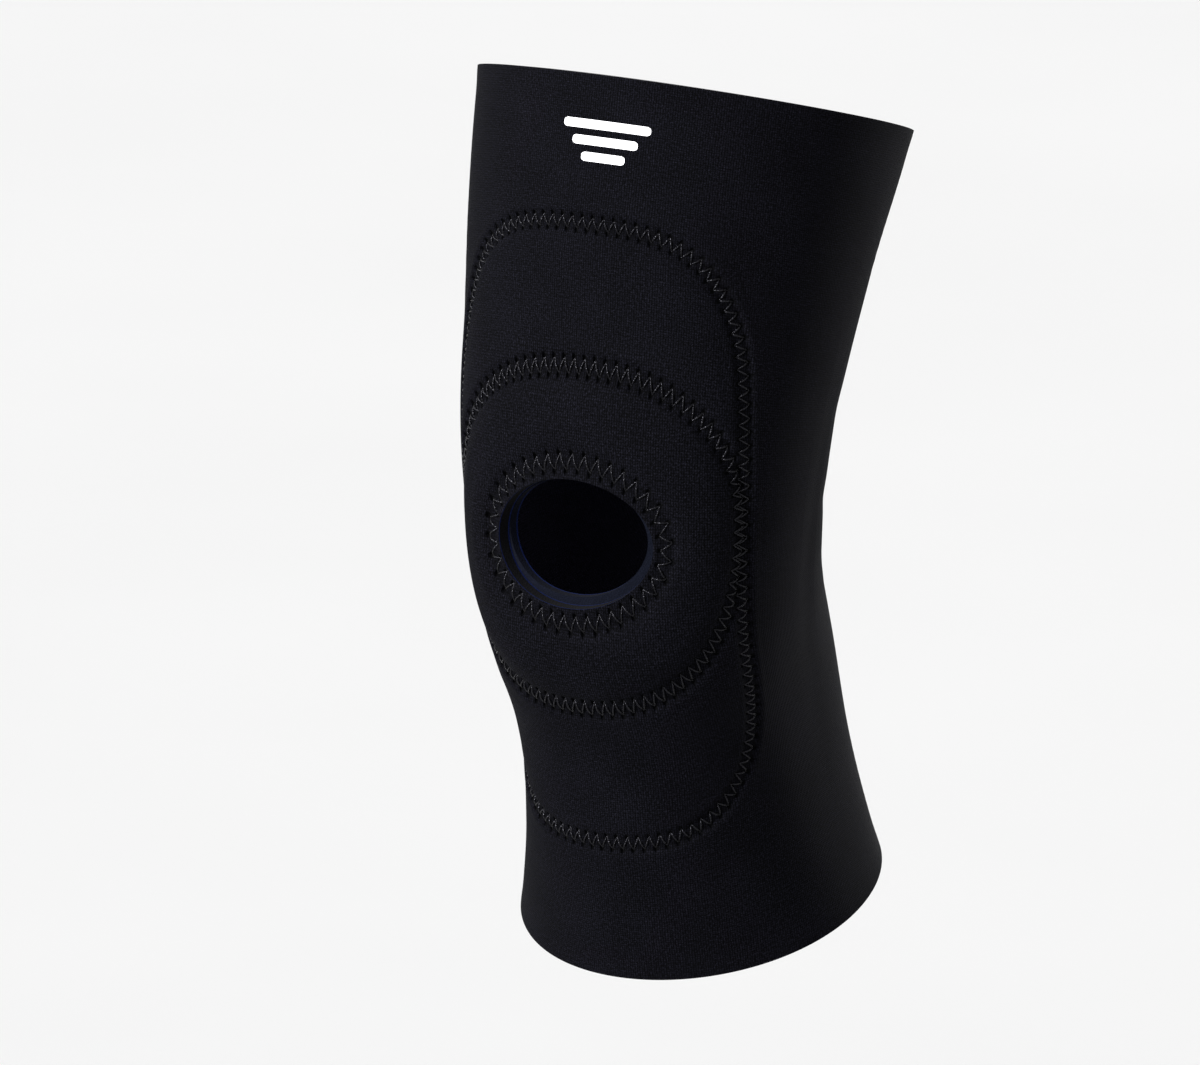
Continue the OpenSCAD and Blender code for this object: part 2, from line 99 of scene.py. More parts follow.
def axis_at(s):
    """Middle of the leg at length s, as Y and Z."""
    s = np.asarray(s, float)
    out = np.zeros(s.shape + (2,))
    for side, lean in ((1, THIGH_LEAN), (-1, SHIN_LEAN)):
        u = np.maximum(side * s, 0)
        r = TURN_LENGTH / math.radians(lean)
        turn = np.minimum(u, TURN_LENGTH)
        rest = u - turn
        a = np.radians(lean) * turn / TURN_LENGTH
        out[..., 0] += r * (1 - np.cos(a)) + rest * np.sin(a)
        out[..., 1] += side * (r * np.sin(a) + rest * np.cos(a))
    return out


def section_point(s, a):
    """Place across and along the depth of the leg, at length s and angle a from the front."""
    m = shape_at(s)
    e = 2 / (2 + SQUARENESS * np.exp(-(np.asarray(s, float) / SQUARENESS_REACH) ** 2))
    c, i = np.cos(a), np.sin(a)
    c = np.sign(c) * np.abs(c) ** e
    i = np.sign(i) * np.abs(i) ** e
    return m[..., 0] * i, np.where(c > 0, -m[..., 1] * c, -m[..., 2] * c)


def skin(s, a):
    """Point of the bare surface at length s and angle a."""
    x, n = section_point(s, a)
    mid, t = axis_at(s), lean_at(s)
    return np.stack([x, mid[..., 0] + n * np.cos(t), mid[..., 1] - n * np.sin(t)], -1)


# Lengths on the leg, angles from the front and shares of the half girth that the tables are made for
TABLE_MARGIN = 4
S_TABLE = np.linspace(-LENGTH_DOWN - TABLE_MARGIN, LENGTH_UP + TABLE_MARGIN, 145)
A_TABLE = np.radians(np.linspace(0, 180, 361))
Q_TABLE = np.linspace(0, 1, 301)


def girth_tables():
    """Half girth at each length, and the angle at each share of the half girth there."""
    x, n = section_point(S_TABLE[:, None], A_TABLE[None, :])
    steps = np.hypot(np.diff(x, axis=1), np.diff(n, axis=1))
    walked = np.concatenate([np.zeros((len(S_TABLE), 1)), np.cumsum(steps, axis=1)], axis=1)
    return walked[:, -1], np.array([np.interp(Q_TABLE, row / row[-1], A_TABLE) for row in walked])


HALF_GIRTH, ANGLES = girth_tables()


def half_girth(s):
    return np.interp(s, S_TABLE, HALF_GIRTH)


def angle_at(u, s):
    """Angle from the front after walking u millimetres round the leg at s."""
    u, s = np.asarray(u, float), np.asarray(s, float)
    q = np.clip(np.abs(u) / half_girth(s), 0, 1) * (len(Q_TABLE) - 1)
    p = np.clip((s - S_TABLE[0]) / (S_TABLE[1] - S_TABLE[0]), 0, len(S_TABLE) - 1.000001)
    i, j = np.minimum(q.astype(int), len(Q_TABLE) - 2), p.astype(int)
    fq, fp = q - i, p - j
    low = ANGLES[j, i] * (1 - fq) + ANGLES[j, i + 1] * fq
    high = ANGLES[j + 1, i] * (1 - fq) + ANGLES[j + 1, i + 1] * fq
    return np.sign(u) * (low * (1 - fp) + high * fp)


ANGLE_STEP, LENGTH_STEP = 0.012, 0.5


def skin_normal(s, a):
    """Outward direction of the bare surface at length s and angle a."""
    du = skin(s, a + ANGLE_STEP) - skin(s, a - ANGLE_STEP)
    ds = skin(s + LENGTH_STEP, a) - skin(s - LENGTH_STEP, a)
    n = np.cross(du, ds)
    return n / np.linalg.norm(n, axis=-1, keepdims=True)


def surface(u, s):
    """Points of the bare surface, u millimetres round the leg at s, and the outward directions there."""
    a = angle_at(u, s)
    return skin(s, a), skin_normal(s, a)


def raised(base, normal, h):
    """Points h millimetres outside others."""
    return base + normal * h[..., None]


# ---- Lines on the flat cut ----

LINE_POINTS = 2881
SEAM_NAMES = ("opening", "ring", "panel")


def line_points(line, angles):
    """Points of a seam line, as (u, s)."""
    w, h, mid, n, shift, lean, corner = line
    c, s = np.cos(angles), np.sin(angles)
    e = 2 / np.where((c < 0) & (s > 0), corner, n)
    rise = h * np.sign(s) * np.abs(s) ** e
    return np.stack([shift + w * np.sign(c) * np.abs(c) ** e + lean * rise, mid + rise], -1)


def widened(line, by):
    """The same line, that much further out."""
    return (line[0] + by, line[1] + by, *line[2:])


def half_line(line, side):
    """Dense polyline of one half of a line, from +u to -u: side 1 above the knee, -1 below."""
    turn = np.linspace(-90, 270, LINE_POINTS) if side > 0 else np.linspace(90, -270, LINE_POINTS)
    points = line_points(line, np.radians(turn))
    run = points[points[:, 1] * side >= 0]
    first, last = run[0].copy(), run[-1].copy()
    first[1] = last[1] = 0.0
    return np.vstack([first, run, last])


def resample(run, shares):
    """Points of a polyline at the given shares of its length."""
    step = np.linalg.norm(np.diff(run, axis=0), axis=1)
    far = np.concatenate([[0], np.cumsum(step)])
    at = np.asarray(shares) * far[-1]
    return np.stack([np.interp(at, far, run[:, k]) for k in (0, 1)], -1)


def run_length(run):
    return float(np.linalg.norm(np.diff(run, axis=0), axis=1).sum())


def smooth(x):
    """0 below 0, 1 above 1 and a soft step between."""
    x = np.clip(x, 0, 1)
    return x * x * (3 - 2 * x)


class Seam:
    """One half of a zigzag seam: where its needle holes are, and how far any point lies from it."""

    def __init__(self, line, side, pitch):
        self.run = half_line(line, side)
        self.length = run_length(self.run)
        self.zigs = 2 * round(self.length / pitch)
        self.step = self.length / self.zigs
        self.side = side

    def measure(self, u, s):
        """Length along the seam and distance from it, outwards positive, of each point."""
        count, skip, chunk = 640, 16, 8000
        q = resample(self.run, np.linspace(0, 1, count + 1))
        seg = np.diff(q, axis=0)
        seg_len = np.linalg.norm(seg, axis=1)
        dirs = seg / seg_len[:, None]
        p = np.stack([np.ravel(u), np.ravel(s)], -1)
        along, off = np.empty(len(p)), np.empty(len(p))
        reach = np.arange(-skip, skip + 1)
        for k in range(0, len(p), chunk):
            part = p[k:k + chunk]
            coarse = ((part[:, None, :] - q[None, ::skip, :]) ** 2).sum(-1).argmin(1) * skip
            near = np.clip(coarse[:, None] + reach[None], 0, count - 1)
            rel = part[:, None, :] - q[near]
            t = np.clip((rel * dirs[near]).sum(-1), 0, seg_len[near])
            gap = rel - t[..., None] * dirs[near]
            d2 = (gap ** 2).sum(-1)
            i = d2.argmin(1)
            j = np.arange(len(part))
            m = near[j, i]
            cross = dirs[m, 0] * rel[j, i, 1] - dirs[m, 1] * rel[j, i, 0]
            off[k:k + chunk] = -np.sign(cross) * self.side * np.sqrt(d2[j, i])
            along[k:k + chunk] = (m + t[j, i] / seg_len[m]) * self.length / count
        return along.reshape(np.shape(u)), off.reshape(np.shape(u))

    def holes(self):
        """Needle holes on the flat cut, alternating from side to side, the first and last at the cut."""
        nudge = 0.0005
        shares = np.arange(self.zigs + 1) / self.zigs
        before = resample(self.run, np.clip(shares - nudge, 0, 1))
        after = resample(self.run, np.clip(shares + nudge, 0, 1))
        ahead = after - before
        out = np.stack([ahead[:, 1], -ahead[:, 0]], -1) / np.linalg.norm(ahead, axis=1)[:, None] * self.side
        out[0], out[-1] = (1, 0), (-1, 0)
        zig = np.where(np.arange(self.zigs + 1) % 2 == 0, 1.0, -1.0)[:, None]
        return resample(self.run, shares) + out * zig * HALF_ZIG


SEAM_LINES = dict(zip(SEAM_NAMES, (OPENING_SEAM, RING_SEAM, PANEL_SEAM)))
SEAMS = {side: {name: Seam(line, side, PITCHES[name]) for name, line in SEAM_LINES.items()}
         for side in HALVES}


# ---- Height of the outer surface above the bare shape, in millimetres ----

PAD_RISE, PANEL_RISE = 1.6, 0.5
# The rises start this far from a seam, and are full this much further from it
RISE_START, PAD_SWELL, PANEL_SWELL = 1, 9, 10
GROOVE_DEPTHS = {"opening": 0.7, "ring": 0.8, "panel": 0.8}
GROOVE_WIDTH = 3.1
# Low ridges of puckered cloth beside a groove
PUCKER_RISE, PUCKER_PLACE, PUCKER_WIDTH = 0.12, 4.8, 1.4
# Needle pits: depth, half length along the seam and half width across it
PIT_DEPTH, PIT_ALONG, PIT_ACROSS = 1.0, 0.6, 0.9
# Where along a V, as a share of it, the pits of the seam's outer and inner side are
PIT_PLACES = ((0.5, HALF_ZIG), (0.0, -HALF_ZIG))
REAR_GROOVE_DEPTH, REAR_GROOVE_WIDTH = 0.5, 2.4
LIP_RISE, LIP_WIDTH = 0.35, 5.0
# Folds behind the knee: length on the leg, tilt, depth and width
FOLDS = ((34, 0.10, 0.5, 8.0), (8, -0.06, 0.6, 7.0), (-20, -0.14, 0.5, 8.0))
SIDE_FOLD_DEPTH, SIDE_FOLD_WIDTH = 0.7, 5.0
# A distance at which a seam no longer shows
FAR = 60


def seam_fields(side, u, s):
    """Length along each front seam and distance from it."""
    return {name: seam.measure(u, s) for name, seam in SEAMS[side].items()}


def far_fields(u):
    """Fields of points that are nowhere near a front seam."""
    return {name: (0 * u, FAR + 0 * u) for name in SEAM_NAMES}


def outer_height(side, u, s, fields, pits=PIT_DEPTH):
    """Height of the outer knit: pad bulge, seam grooves, puckers, pits, creases and rolled rims."""
    ring, hole, panel = (fields[name][1] for name in ("ring", "opening", "panel"))
    on_pad = smooth((-ring - RISE_START) / PAD_SWELL) * smooth((hole - RISE_START) / PAD_SWELL)
    on_panel = smooth((-panel - RISE_START) / PANEL_SWELL) * smooth((ring - RISE_START) / PANEL_SWELL)
    h = PAD_RISE * on_pad + PANEL_RISE * on_panel
    for name, depth in GROOVE_DEPTHS.items():
        along, off = fields[name]
        pucker = PUCKER_RISE * np.exp(-((np.abs(off) - PUCKER_PLACE) / PUCKER_WIDTH) ** 2)
        h = h - depth * np.exp(-(off / GROOVE_WIDTH) ** 4) + pucker
        period = 2 * SEAMS[side][name].step
        for shift, place in PIT_PLACES:
            away = ((along / period + shift) % 1 - 0.5) * period
            h = h - pits * np.exp(-(away / PIT_ALONG) ** 2 - ((off - place) / PIT_ACROSS) ** 2)
    girth = half_girth(s)
    rear = np.abs(u) / girth
    h = h - REAR_GROOVE_DEPTH * np.exp(-((1 - rear) * girth / REAR_GROOVE_WIDTH) ** 2)
    h = h + crease_height(u, s)
    lip = np.exp(-((LENGTH_UP - s) / LIP_WIDTH) ** 2) + np.exp(-((s + LENGTH_DOWN) / LIP_WIDTH) ** 2)
    return h + LIP_RISE * lip


def crease_height(u, s):
    """Soft folds behind the knee, one down each side, and a slight unevenness all over."""
    wave = 0.35 * np.sin(u / 23 + 1.3 * np.sin(s / 41)) * np.sin(s / 37 + 0.8)
    girth = half_girth(s)
    back = smooth((np.abs(u) / girth - 0.42) / 0.35)
    near = np.exp(-((s - 12) / 44.0) ** 2)
    folds = 0.0
    for at, tilt, depth, width in FOLDS:
        middle = at + tilt * (girth - np.abs(u)) * np.sign(u)
        folds = folds - depth * np.exp(-((s - middle) / width) ** 2)
    across = (np.abs(u) - 0.56 * girth - 0.05 * s) / SIDE_FOLD_WIDTH
    side_fold = -SIDE_FOLD_DEPTH * np.exp(-across ** 2) * np.exp(-((s + 5) / 70.0) ** 2)
    return wave + folds * back * near + side_fold


# ---- Mesh helpers ----

def make_object(name, verts, faces, mats, mat_index=None, uv=None, attributes=None, sharp=40):
    """Object from points in millimetres, a list of arrays of quads, and a UV for each point in metres."""
    mesh = bpy.data.meshes.new(name)
    verts = np.asarray(verts, np.float32) * MM
    loops = np.concatenate([f.ravel() for f in faces]).astype(np.int32)
    sizes = np.concatenate([np.full(len(f), f.shape[1]) for f in faces]).astype(np.int32)
    starts = np.concatenate([[0], np.cumsum(sizes)[:-1]]).astype(np.int32)
    mesh.vertices.add(len(verts))
    mesh.vertices.foreach_set("co", verts.ravel())
    mesh.loops.add(len(loops))
    mesh.loops.foreach_set("vertex_index", loops)
    mesh.polygons.add(len(sizes))
    mesh.polygons.foreach_set("loop_start", starts)
    mesh.polygons.foreach_set("use_smooth", np.ones(len(sizes), bool))
    for m in mats:
        mesh.materials.append(m)
    if mat_index is not None:
        mesh.polygons.foreach_set("material_index", np.asarray(mat_index, np.int32))
    mesh.update(calc_edges=True)
    mesh.validate()
    if uv is not None:
        layer = mesh.uv_layers.new(name="Flat")
        layer.data.foreach_set("uv", (np.asarray(uv, np.float32)[loops]).ravel())
    for key, values in (attributes or {}).items():
        values = np.asarray(values, np.float32)
        layer = mesh.attributes.new(key, "FLOAT_VECTOR", "POINT")
        layer.data.foreach_set("vector", values.ravel())
    mesh.set_sharp_from_angle(angle=math.radians(sharp))
    obj = bpy.data.objects.new(name, mesh)
    bpy.context.scene.collection.objects.link(obj)
    return obj


def grid_faces(rows, cols, flip=False, start=0):
    """Quads of a grid of points, the first of them number start."""
    i, j = np.meshgrid(np.arange(rows - 1), np.arange(cols - 1), indexing="ij")
    a = start + i * cols + j
    f = np.stack([a, a + 1, a + cols + 1, a + cols], -1).reshape(-1, 4)
    return f[:, ::-1] if flip else f


def shell_faces(rows, cols, flip=False, start=0):
    """Quads of a closed solid between two grids: outside, inside, first row, last row and both ends."""
    n = rows * cols
    a = start + np.arange(n).reshape(rows, cols)
    faces = [grid_faces(rows, cols, flip, start), grid_faces(rows, cols, not flip, start + n)]
    for run in (a[0], a[-1][::-1], a[::-1, 0], a[:, -1]):
        strip = np.stack([run[:-1], run[:-1] + n, run[1:] + n, run[1:]], -1)
        faces.append(strip[:, ::-1] if flip else strip)
    return faces


def shell(name, outer, inner, uv, mats, edge_mat=0, inner_mat=0, flip=False, attributes=None):
    """Closed solid between two grids of points, whose rows run from the opening outwards."""
    faces = shell_faces(*outer.shape[:2], flip)
    index = np.concatenate([np.full(len(f), m) for f, m in zip(faces, (0, inner_mat, edge_mat, 0, 0, 0))])
    verts = np.concatenate([outer.reshape(-1, 3), inner.reshape(-1, 3)])
    both = np.concatenate([uv.reshape(-1, 2)] * 2) * MM
    attrs = {k: np.concatenate([v.reshape(-1, 3)] * 2) for k, v in (attributes or {}).items()}
    return make_object(name, verts, faces, mats, index, both, attrs)


# ---- The flat cut as a grid: rows from the kneecap opening out to the rims and the rear seam ----

# The line between the finer and the coarser rows: its distance outside the panel seam, and its squareness
MIDWAY_MARGIN, MIDWAY_SQUARENESS = 9, 2.8
EDGE_POINTS, RIM_POINTS = 160, 400


def cut_outline(side):
    """Half of the sleeve's outline on the flat cut: rear edge, rim, rear edge."""
    end = LENGTH_UP if side > 0 else -LENGTH_DOWN
    up = np.linspace(0, end, EDGE_POINTS)
    right = np.stack([half_girth(up), up], -1)
    across = np.linspace(half_girth(end), -half_girth(end), RIM_POINTS)
    rim = np.stack([across, np.full(RIM_POINTS, end)], -1)
    left = right[::-1] * (-1, 1)
    return right, rim, left


def sleeve_grid(side, cols, near_rows, far_rows):
    """(rows, cols, 2) points on the flat cut for one half of the sleeve wall."""
    t = np.linspace(0, 1, cols)
    hole = resample(half_line(OPENING, side), t)
    w, h, middle, _, shift, lean, _ = widened(PANEL_SEAM, MIDWAY_MARGIN)
    midway = (w, h, middle, MIDWAY_SQUARENESS, shift, lean, MIDWAY_SQUARENESS)
    panel = resample(half_line(midway, side), t)
    right, rim, left = cut_outline(side)
    lengths = [run_length(r) for r in (right, rim, left)]
    corner = lengths[0] / sum(lengths)
    first = max(2, int(round(corner * (cols - 1))))
    second = cols - 1 - first
    outline = np.vstack([resample(right, np.linspace(0, 1, first + 1)),
                         resample(rim, np.linspace(0, 1, second - first + 1))[1:],
                         resample(left, np.linspace(0, 1, cols - second))[1:]])
    near = np.linspace(0, 1, near_rows)[:, None, None]
    far = np.linspace(0, 1, far_rows)[1:, None, None]
    a = hole[None] * (1 - near) + panel[None] * near
    b = panel[None] * (1 - far) + outline[None] * far
    return np.concatenate([a, b])


# ---- Materials ----

PER_METRE = 1000.0
TURN = 2 * math.pi


def rgb(c):
    return (c[0], c[1], c[2], 1.0)


class Nodes:
    """A new material, and short ways to add nodes to it."""

    def __init__(self, name):
        self.mat = bpy.data.materials.new(name)
        self.mat.use_nodes = True
        self.tree = self.mat.node_tree
        self.bsdf = self.tree.nodes["Principled BSDF"]

    def link(self, out, into):
        self.tree.links.new(out, into)

    def fill(self, socket, value):
        """Set a socket to a number or a colour, or link another node's output to it."""
        if isinstance(value, (int, float, tuple)):
            socket.default_value = value
        else:
            self.link(value, socket)

    def shader(self, **values):
        """Fill sockets of the shader, named with _ for each space."""
        for key, value in values.items():
            self.fill(self.bsdf.inputs[key.replace("_", " ")], value)

    def math(self, op, a, b=None, c=None, clamp=False):
        node = self.tree.nodes.new("ShaderNodeMath")
        node.operation = op
        node.use_clamp = clamp
        for k, v in enumerate((a, b, c)):
            if v is not None:
                self.fill(node.inputs[k], v)
        return node.outputs[0]

    def mix(self, share, a, b):
        """Colour between a and b."""
        node = self.tree.nodes.new("ShaderNodeMix")
        node.data_type = "RGBA"
        for k, v in ((0, share), (6, a), (7, b)):
            self.fill(node.inputs[k], v)
        return node.outputs[2]

    def ramp(self, value, low, high, to_low=0.0, to_high=1.0):
        """Soft step from to_low at low to to_high at high."""
        node = self.tree.nodes.new("ShaderNodeMapRange")
        node.interpolation_type = "SMOOTHSTEP"
        for k, v in enumerate((value, low, high, to_low, to_high)):
            self.fill(node.inputs[k], v)
        return node.outputs[0]

    def scaled(self, vector, factor):
        node = self.tree.nodes.new("ShaderNodeVectorMath")
        node.operation = "SCALE"
        node.inputs["Scale"].default_value = factor
        self.link(vector, node.inputs[0])
        return node.outputs[0]

    def split(self, vector):
        """X, Y and Z of a vector."""
        node = self.tree.nodes.new("ShaderNodeSeparateXYZ")
        self.link(vector, node.inputs[0])
        return node.outputs[0], node.outputs[1], node.outputs[2]

    def noise(self, vector, scale, detail=2.0, rough=0.5):
        node = self.tree.nodes.new("ShaderNodeTexNoise")
        node.inputs["Scale"].default_value = scale
        node.inputs["Detail"].default_value = detail
        node.inputs["Roughness"].default_value = rough
        self.link(vector, node.inputs["Vector"])
        return node.outputs[0]

    def coords(self):
        """Flat cut coordinates in millimetres: (vector, u, s)."""
        uv = self.tree.nodes.new("ShaderNodeUVMap")
        uv.uv_map = "Flat"
        vector = self.scaled(uv.outputs[0], PER_METRE)
        u, s, _ = self.split(vector)
        return vector, u, s

    def solid_coords(self):
        """Place in the object, in millimetres."""
        coord = self.tree.nodes.new("ShaderNodeTexCoord")
        return self.scaled(coord.outputs["Object"], PER_METRE)

    def bump(self, height, distance, normal=None):
        node = self.tree.nodes.new("ShaderNodeBump")
        node.inputs["Distance"].default_value = distance
        node.inputs["Strength"].default_value = 1.0
        self.link(height, node.inputs["Height"])
        if normal is not None:
            self.link(normal, node.inputs["Normal"])
        return node.outputs[0]


def jersey(n, u, s, wale, course):
    """Height of a plain knit, 0 to 1: columns of small V loops."""
    x = n.math("FRACT", n.math("DIVIDE", u, wale))
    across = n.math("ABSOLUTE", n.math("MULTIPLY_ADD", x, 2.0, -1.0))
    slant = n.math("MULTIPLY_ADD", across, -0.55, n.math("DIVIDE", s, course))
    along = n.math("COSINE", n.math("MULTIPLY", slant, TURN))
    round_legs = n.math("SINE", n.math("MULTIPLY", across, math.pi))
    legs = n.math("MULTIPLY_ADD", round_legs, 0.3, n.ramp(across, 1.0, 0.4, 0.0, 0.7))
    return n.math("MULTIPLY", legs, n.math("MULTIPLY_ADD", along, 0.25, 0.75))


def needle_pits(n, name, step):
    """Masks of the needle holes and of the band of one seam, from its (along, off) attribute: the knit's
    material paints shade into both.
    """
    at = n.tree.nodes.new("ShaderNodeAttribute")
    at.attribute_name = name
    along, off, _ = n.split(at.outputs["Vector"])
    found = None
    for shift, place in PIT_PLACES:
        turn = n.math("FRACT", n.math("MULTIPLY_ADD", along, 1 / (2 * step), shift))
        da = n.math("MULTIPLY", n.math("SUBTRACT", turn, 0.5), 2 * step)
        do = n.math("SUBTRACT", off, place)
        stretched = n.math("MULTIPLY", n.math("MULTIPLY", do, do), 0.45)
        far = n.math("SQRT", n.math("ADD", n.math("MULTIPLY", da, da), stretched))
        hole = n.ramp(far, 0.95, 0.3)
        found = hole if found is None else n.math("MAXIMUM", found, hole)
    band = n.ramp(n.math("ABSOLUTE", off), HALF_ZIG + 0.6, HALF_ZIG - 0.6)
    return found, band


# Width and height of one loop of the outer knit
WALE, COURSE = 0.85, 0.75
# Painted shade: the colour of the shadow inside a needle hole
PIT_SHADE_COLOR = (0.0008, 0.0008, 0.001)
# Share by which a seam's band is mixed towards the dark colour: painted shade of the groove under the
# thread
SEAM_GROOVE_PAINTED_SHADE = 0.35


def knit_material(name, dark, light, sheen, wale=WALE, course=COURSE, pits=()):
    """Plain knit with a heather of fibres, and shade painted into its seam bands and needle holes. pits
    names the seams on it, each with its stitch length.
    """
    n = Nodes(name)
    vector, u, s = n.coords()
    wander = n.noise(vector, 0.12, 2.0)
    loops = jersey(n, n.math("MULTIPLY_ADD", wander, 0.7, u), s, wale, course)
    patchy = n.noise(vector, 0.045, 3.0, 0.55)
    heather = n.noise(vector, 1.2, 3.0, 0.7)
    fibre = n.noise(vector, 5.5, 3.0, 0.7)
    heather_wide = n.ramp(heather, 0.32, 0.68)
    clouds = n.math("MULTIPLY_ADD", heather_wide, 0.55, n.math("MULTIPLY", patchy, 0.35))
    tone = n.math("MULTIPLY_ADD", loops, 0.75, clouds)
    tone = n.math("ADD", tone, -0.42, clamp=True)
    speck = n.ramp(n.noise(vector, 2.1, 2.0, 0.6), 0.52, 0.78)
    tone = n.math("MULTIPLY_ADD", speck, 0.9, n.math("MULTIPLY", tone, 0.85), clamp=True)
    color = n.mix(n.math("MULTIPLY", tone, tone), rgb(dark), rgb(light))
    height = n.math("MULTIPLY_ADD", fibre, 0.35, loops)
    pit_all = None
    for key, step in pits:
        hole, band = needle_pits(n, key, step)
        # Painted shade of the seam's groove
        color = n.mix(n.math("MULTIPLY", band, SEAM_GROOVE_PAINTED_SHADE), color, rgb(dark))
        pit_all = hole if pit_all is None else n.math("MAXIMUM", pit_all, hole)
    normal = n.bump(height, 0.00012)
    # Painted shade in the needle holes, on top of their dent
    if pit_all is not None:
        color = n.mix(pit_all, color, rgb(PIT_SHADE_COLOR))
        normal = n.bump(n.math("SUBTRACT", 1.0, pit_all), 0.0007, normal)
    n.shader(Base_Color=color, Normal=normal, Roughness=n.ramp(heather, 0.2, 0.8, 0.68, 0.84),
             Specular_IOR_Level=0.02, Sheen_Weight=sheen, Sheen_Roughness=0.4,
             Sheen_Tint=(0.90, 0.92, 1.0, 1.0))
    return n.mat


def foam_material(name, dark, light, cell=2.2):
    """Foam or felt: small round cells with soft blotches."""
    n = Nodes(name)
    place = n.solid_coords()
    cells = n.tree.nodes.new("ShaderNodeTexVoronoi")
    cells.inputs["Scale"].default_value = cell
    n.link(place, cells.inputs["Vector"])
    depth = cells.outputs["Distance"]
    blotch = n.noise(place, 0.2, 2.0)
    tone = n.math("MULTIPLY_ADD", depth, 0.8, n.math("MULTIPLY", blotch, 0.4), clamp=True)
    n.shader(Base_Color=n.mix(tone, rgb(dark), rgb(light)), Normal=n.bump(depth, 0.00015),
             Roughness=0.88, Specular_IOR_Level=0.03, Sheen_Weight=0.01)
    return n.mat


PLY_LENGTH = 1.1


def thread_material(name, dark, light):
    """Two-ply thread: the UV runs along (x) and round (y) the thread, in millimetres."""
    n = Nodes(name)
    vector, along, round_ = n.coords()
    ply = n.math("MULTIPLY_ADD", along, TURN / PLY_LENGTH, n.math("MULTIPLY", round_, TURN))
    ply = n.math("MULTIPLY_ADD", n.math("SINE", ply), 0.5, 0.5)
    hair = n.noise(vector, 3.0, 2.0, 0.6)
    tone = n.math("MULTIPLY_ADD", hair, 0.5, n.math("MULTIPLY", ply, 0.6), clamp=True)
    n.shader(Base_Color=n.mix(tone, rgb(dark), rgb(light)),
             Normal=n.bump(n.math("MULTIPLY_ADD", hair, 0.25, ply), 0.0001),
             Roughness=n.ramp(hair, 0.2, 0.8, 0.2, 0.32), Specular_IOR_Level=0.17,
             Specular_Tint=(0.86, 0.86, 1.0, 1.0), Sheen_Weight=0.02)
    return n.mat


def cloth_material(name, dark, light, pitch, sheen, rough=0.85, gloss=0.04):
    """Plain weave, for the tape, the label, cut edges and the backs of knits."""
    n = Nodes(name)
    vector, u, s = n.coords()
    wave_u = n.math("SINE", n.math("MULTIPLY", u, TURN / pitch))
    wave_s = n.math("SINE", n.math("MULTIPLY", s, TURN / pitch))
    weave = n.math("MULTIPLY_ADD", n.math("MULTIPLY", wave_u, wave_s), 0.5, 0.5)
    fuzz = n.noise(vector, 2.5, 3.0, 0.6)
    tone = n.math("MULTIPLY_ADD", weave, 0.5, n.math("MULTIPLY", fuzz, 0.5), clamp=True)
    n.shader(Base_Color=n.mix(tone, rgb(dark), rgb(light)),
             Normal=n.bump(n.math("MULTIPLY_ADD", fuzz, 0.4, weave), 0.00008),
             Roughness=rough, Specular_IOR_Level=gloss, Sheen_Weight=sheen)
    return n.mat


def print_material():
    """White ink on the outer knit, whose loops show through it."""
    n = Nodes("white_print")
    vector, u, s = n.coords()
    grain = n.noise(vector, 1.6, 3.0, 0.6)
    loops = jersey(n, u, s, WALE, COURSE)
    tone = n.ramp(grain, 0.3, 0.75)
    n.shader(Base_Color=n.mix(tone, rgb((0.72, 0.72, 0.74)), rgb((0.90, 0.90, 0.91))),
             Normal=n.bump(loops, 0.00006), Roughness=n.ramp(grain, 0.2, 0.8, 0.45, 0.62),
             Specular_IOR_Level=0.35)
    return n.mat


def floor_material():
    n = Nodes("studio_floor")
    coord = n.tree.nodes.new("ShaderNodeTexCoord")
    grain = n.noise(coord.outputs["Object"], 3.0, 2.0)
    n.shader(Base_Color=n.mix(grain, rgb((0.90, 0.90, 0.90)), rgb((0.94, 0.94, 0.94))), Roughness=0.9)
    return n.mat


# The outer knit is one material in two copies, because the stitch lengths of the two halves differ a little
M_FACE = {side: knit_material(
    "face_knit_" + half, (0.0002, 0.0002, 0.0003), (0.0082, 0.0082, 0.0130), 0.003,
    pits=[("seam_" + key, SEAMS[side][key].step) for key in SEAM_NAMES]) for side, half in HALVES.items()}
M_EDGE = cloth_material("cut_edge_blue", (0.0015, 0.003, 0.018), (0.005, 0.012, 0.065), 0.6, 0.01)
M_BACK = cloth_material("knit_back", (0.0015, 0.0015, 0.0025), (0.004, 0.004, 0.006), 0.6, 0.005)
M_FOAM = foam_material("black_foam", (0.001, 0.001, 0.0013), (0.004, 0.004, 0.005))
M_LINING = knit_material("lining_knit", (0.004, 0.004, 0.008), (0.024, 0.022, 0.042), 0.02, 1.0, 0.9)
M_PANEL_KNIT = knit_material("panel_knit", (0.003, 0.003, 0.006), (0.018, 0.018, 0.030), 0.01, 1.0, 0.9)
M_PANEL_FOAM = foam_material("panel_foam", (0.0012, 0.0015, 0.003), (0.004, 0.005, 0.010))
M_PAD = foam_material("pad_felt", (0.06, 0.06, 0.065), (0.17, 0.17, 0.18), 1.2)
M_THREAD = thread_material("black_thread", (0.0004, 0.0004, 0.0005), (0.0022, 0.0021, 0.003))
M_TAPE = cloth_material("seam_tape", (0.003, 0.003, 0.005), (0.011, 0.011, 0.016), 0.8, 0.04)
M_LABEL = cloth_material("label_satin", (0.55, 0.55, 0.54), (0.80, 0.80, 0.78), 0.5, 0.3, 0.6, 0.2)
M_PRINT = print_material()


# ---- Sleeve wall: outer knit, foam core and lining, each in two halves that meet at the knee ----

# Columns, near rows and far rows of the outer knit's grid, and of the grid under it
FINE = (441, 136, 26)
COARSE = (221, 48, 14)
SKIN_DEPTH = 0.55
